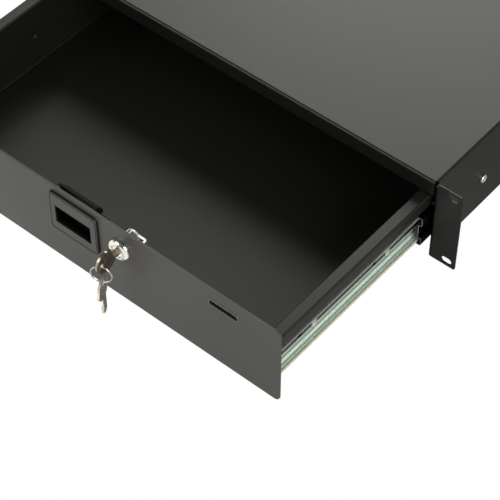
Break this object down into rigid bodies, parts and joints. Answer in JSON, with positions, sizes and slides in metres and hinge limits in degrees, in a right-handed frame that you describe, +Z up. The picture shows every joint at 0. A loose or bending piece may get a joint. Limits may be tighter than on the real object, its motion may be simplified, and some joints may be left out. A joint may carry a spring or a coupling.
{
  "type": "sliding rack drawer",
  "caption": "Rack-mounted steel drawer on ball bearing slides, with a slam latch, a cam lock and keys on a split ring.",
  "frame": {"origin": "centre of the rectangle of the four rack mounting slots, on the front faces of the ears", "axes": "+X along the panel towards the lock's side, +Y into the rack, +Z up"},
  "size_m": [0.4826, 0.6039, 0.0882],
  "materials": {
    "panel_paint": "fine-textured dark grey powder coat",
    "chassis_paint": "fine-textured dark grey powder coat",
    "zinc_steel": "zinc-plated rolled steel",
    "cage_steel": "blackened sheet steel",
    "ball_steel": "polished bearing steel",
    "black_screw": "black oxide steel",
    "zinc_screw": "zinc-plated steel",
    "latch_plastic": "grey moulded plastic",
    "black_plastic": "black moulded plastic",
    "lock_chrome": "polished chrome plate",
    "lock_steel": "plain zinc-plated steel",
    "key_nickel": "nickel-plated brass",
    "spring_steel": "spring steel"
  },
  "bodies": {
    "chassis": {"chassis_shell": "chassis_paint", "rear_panel": "chassis_paint", "rear_screws_left": "black_screw", "rear_screws_right": "black_screw", "slide_outer_left": "zinc_steel", "slide_outer_right": "zinc_steel", "slide_bumper_left": "black_plastic", "slide_bumper_right": "black_plastic", "outer_screws_left": "black_screw", "outer_screws_right": "black_screw"},
    "drawer": {"front_panel": "panel_paint", "drawer_tray": "chassis_paint", "slide_inner_left": "zinc_steel", "slide_inner_right": "zinc_steel", "inner_screws_left": "zinc_screw", "inner_screws_right": "zinc_screw", "latch_housing": "latch_plastic", "latch_springs": "spring_steel", "lock_barrel": "lock_chrome", "lock_clip": "lock_steel"},
    "cage_left": {"ball_cage_left": "cage_steel", "slide_balls_left": "ball_steel"},
    "cage_right": {"ball_cage_right": "cage_steel", "slide_balls_right": "ball_steel"},
    "latch": {"latch_slider": "black_plastic"},
    "lock": {"lock_plug": "lock_chrome", "lock_cam": "lock_steel", "cam_screw": "zinc_screw"},
    "key": {"key": "key_nickel"},
    "ring": {"key_ring": "key_nickel"},
    "spare_key": {"spare_key": "key_nickel"}
  },
  "joints": [
    {"name": "drawer_slide", "type": "slide", "parent": "chassis", "child": "drawer", "axis": [0, -1, 0], "range_m": [-0.1962, 0.064]},
    {"name": "cage_left_slide", "type": "slide", "parent": "chassis", "child": "cage_left", "axis": [0, -1, 0], "range_m": [-0.0981, 0.032]},
    {"name": "cage_right_slide", "type": "slide", "parent": "chassis", "child": "cage_right", "axis": [0, -1, 0], "range_m": [-0.0981, 0.032]},
    {"name": "latch_press", "type": "slide", "parent": "drawer", "child": "latch", "axis": [0, 0, -1], "range_m": [0, 0.0065], "stiffness_N_per_m": 400, "springref_m": -0.004, "deforming": ["latch_springs"]},
    {"name": "lock_turn", "type": "hinge", "parent": "drawer", "child": "lock", "pos_m": [0.05, -0.1965, 0.01745], "axis": [0, -1, 0], "range_deg": [0, 90]},
    {"name": "key_pull", "type": "slide", "parent": "lock", "child": "key", "axis": [0, -1, 0], "range_m": [0, 0.02]},
    {"name": "ring_swing", "type": "hinge", "parent": "key", "child": "ring", "pos_m": [0.05, -0.2215, 0.0159], "axis": [0.9063, 0.4226, 0], "range_deg": [-20, 12]},
    {"name": "spare_key_swing", "type": "hinge", "parent": "ring", "child": "spare_key", "pos_m": [0.05, -0.2215, -0.0023], "axis": [0.9063, 0.4226, 0], "range_deg": [-20, 12]}
  ],
  "couplings": [
    {"joint": "cage_left_slide", "follows": "drawer_slide", "ratio": 0.5},
    {"joint": "cage_right_slide", "follows": "drawer_slide", "ratio": 0.5}
  ]
}
